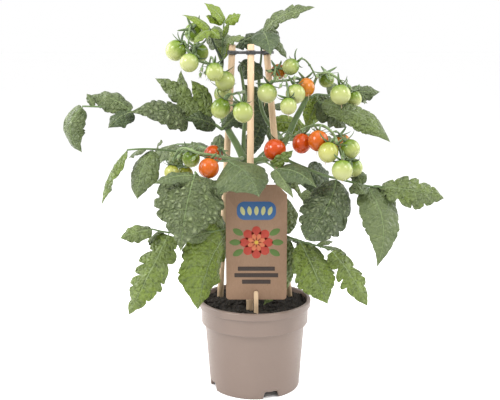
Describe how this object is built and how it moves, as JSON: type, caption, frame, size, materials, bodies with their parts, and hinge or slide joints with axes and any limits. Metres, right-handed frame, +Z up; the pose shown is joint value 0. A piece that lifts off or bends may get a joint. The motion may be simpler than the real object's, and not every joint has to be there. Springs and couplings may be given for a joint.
{
  "type": "potted cherry tomato plant",
  "caption": "Potted cherry tomato plant on stakes: lobed leaves, trusses of green, orange and red fruit, a plastic nursery pot of soil and a card label on a peg.",
  "frame": {"origin": "centre of the pot's underside, on the flat disc under its floor", "axes": "+Z up along the pot's axis; the label faces -Y"},
  "size_m": [0.4447, 0.2788, 0.4718],
  "materials": {
    "leaf_green": "satin",
    "stalk_green": "satin",
    "fruit_red": "gloss",
    "fruit_orange_red": "gloss",
    "fruit_orange": "gloss",
    "fruit_yellow_green": "gloss",
    "fruit_pale": "gloss",
    "fruit_green": "gloss",
    "potting_soil": "matte",
    "taupe_plastic": "satin",
    "pale_wood": "matte",
    "black_plastic": "satin",
    "kraft_card": "matte"
  },
  "bodies": {
    "root": {"label_peg": "pale_wood", "leaf_centre": "leaf_green", "leaf_front": "leaf_green", "leaf_left_front": "leaf_green", "leaf_left_high": "leaf_green", "leaf_left_low": "leaf_green", "leaf_left_mid": "leaf_green", "leaf_right_front": "leaf_green", "leaf_right_high": "leaf_green", "leaf_right_low": "leaf_green", "plant_label": "kraft_card", "pot": "taupe_plastic", "shoot_back_left": "leaf_green", "shoot_back_right": "leaf_green", "shoot_top_left": "leaf_green", "shoot_top_right": "leaf_green", "soil": "potting_soil", "stake_front": "pale_wood", "stake_left": "pale_wood", "stake_right": "pale_wood", "stake_ring": "black_plastic", "stem": "stalk_green", "tomato_01": "fruit_green", "tomato_02": "fruit_pale", "tomato_03": "fruit_green", "tomato_04": "fruit_pale", "tomato_05": "fruit_green", "tomato_06": "fruit_green", "tomato_07": "fruit_pale", "tomato_08": "fruit_green", "tomato_09": "fruit_green", "tomato_10": "fruit_green", "tomato_11": "fruit_yellow_green", "tomato_12": "fruit_yellow_green", "tomato_13": "fruit_red", "tomato_14": "fruit_orange", "tomato_15": "fruit_red", "tomato_16": "fruit_green", "tomato_17": "fruit_orange", "tomato_18": "fruit_pale", "tomato_19": "fruit_pale", "tomato_20": "fruit_pale", "tomato_21": "fruit_green", "tomato_22": "fruit_pale", "tomato_23": "fruit_pale", "tomato_24": "fruit_red", "tomato_25": "fruit_red", "tomato_26": "fruit_orange_red", "tomato_27": "fruit_yellow_green", "tomato_28": "fruit_green", "tomato_29": "fruit_pale", "tomato_30": "fruit_pale", "tomato_31": "fruit_orange", "tomato_32": "fruit_orange", "truss_centre": "stalk_green", "truss_left": "stalk_green", "truss_right": "stalk_green", "truss_top_left": "stalk_green", "truss_top_middle": "stalk_green", "truss_top_right": "stalk_green"}
  },
  "joints": []
}
